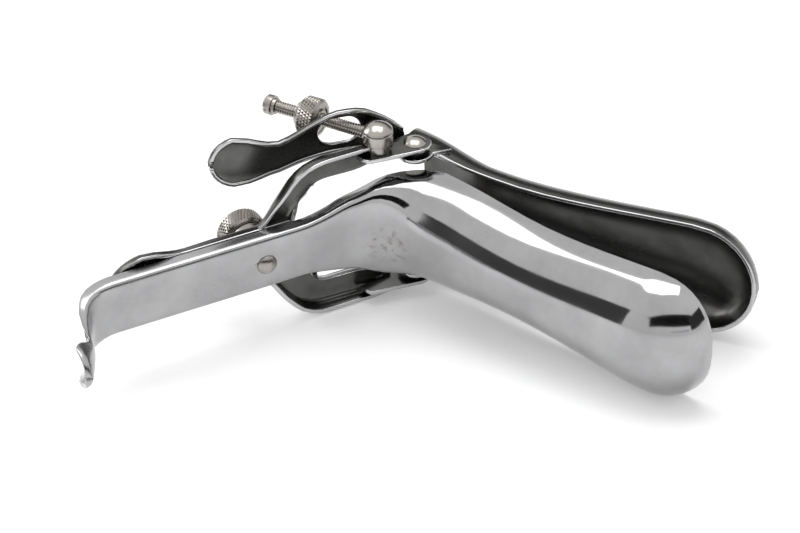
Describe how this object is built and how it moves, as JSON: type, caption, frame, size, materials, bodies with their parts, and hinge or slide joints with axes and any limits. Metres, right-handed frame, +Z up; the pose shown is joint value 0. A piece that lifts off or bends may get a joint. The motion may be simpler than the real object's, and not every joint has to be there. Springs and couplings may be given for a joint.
{
  "type": "bivalve vaginal speculum",
  "caption": "Stainless bivalve vaginal speculum lying on its side: two trough blades, a yoke handle, a thumb lever held by a screw and nut, and a clamp nut on the handle.",
  "frame": {"origin": "middle of the footprint, on the table the instrument lies on", "axes": "+X out along the lower blade towards its tip, +Y from the lower blade to the upper one, +Z up, towards the side with the thumb lever"},
  "size_m": [0.1412, 0.1506, 0.0618],
  "materials": {
    "polished_steel": "polished",
    "turned_steel": "satin"
  },
  "bodies": {
    "yoke": {"frame": "polished_steel", "hinge_rivet_up": "turned_steel", "hinge_rivet_down": "turned_steel", "screw_post": "turned_steel"},
    "lower": {"lower_blade": "polished_steel", "clamp_stud": "turned_steel"},
    "upper": {"upper_blade": "polished_steel"},
    "screw": {"adjusting_screw": "turned_steel", "stop_cap": "turned_steel"},
    "screw_collar": {"adjusting_collar": "turned_steel"},
    "screw_nut": {"adjusting_nut": "turned_steel"},
    "collar": {"clamp_collar": "turned_steel"},
    "nut": {"clamp_nut": "turned_steel"}
  },
  "joints": [
    {"name": "blade_hinge", "type": "hinge", "parent": "yoke", "child": "upper", "pos_m": [-0.03078, 0.03752, 0.02614], "axis": [0.091, -0.0368, 0.9952], "range_deg": [-16, 4.5]},
    {"name": "lower_slide", "type": "slide", "parent": "yoke", "child": "lower", "axis": [-0.3746, -0.9272, 0], "range_m": [0, 0.008]},
    {"name": "screw_swing", "type": "hinge", "parent": "yoke", "child": "screw", "pos_m": [-0.03347, 0.02685, 0.05418], "axis": [0.091, -0.0368, 0.9952], "range_deg": [-19.4, 5.6]},
    {"name": "screw_nut_travel", "type": "slide", "parent": "screw", "child": "screw_collar", "axis": [-0.9707, -0.2264, 0.0804], "range_m": [-0.001, 0.003]},
    {"name": "screw_nut_turn", "type": "hinge", "parent": "screw_collar", "child": "screw_nut", "pos_m": [-0.03347, 0.02685, 0.05418], "axis": [-0.9707, -0.2264, 0.0804], "range_deg": [-480, 1500]},
    {"name": "clamp_nut_travel", "type": "slide", "parent": "lower", "child": "collar", "axis": [-0.9227, 0.3728, 0.0982], "range_m": [0, 0.0015]},
    {"name": "clamp_nut_turn", "type": "hinge", "parent": "collar", "child": "nut", "pos_m": [-0.05619, -0.00398, 0.02693], "axis": [-0.9227, 0.3728, 0.0982], "range_deg": [0, 720]}
  ],
  "couplings": [
    {"joint": "screw_swing", "follows": "blade_hinge", "ratio": 1.2},
    {"joint": "screw_nut_travel", "follows": "blade_hinge", "m_per_rad": -0.0103},
    {"joint": "screw_nut_turn", "follows": "blade_hinge", "ratio": -92.453},
    {"joint": "clamp_nut_travel", "follows": "clamp_nut_turn", "m_per_rad": 0.00011141}
  ]
}
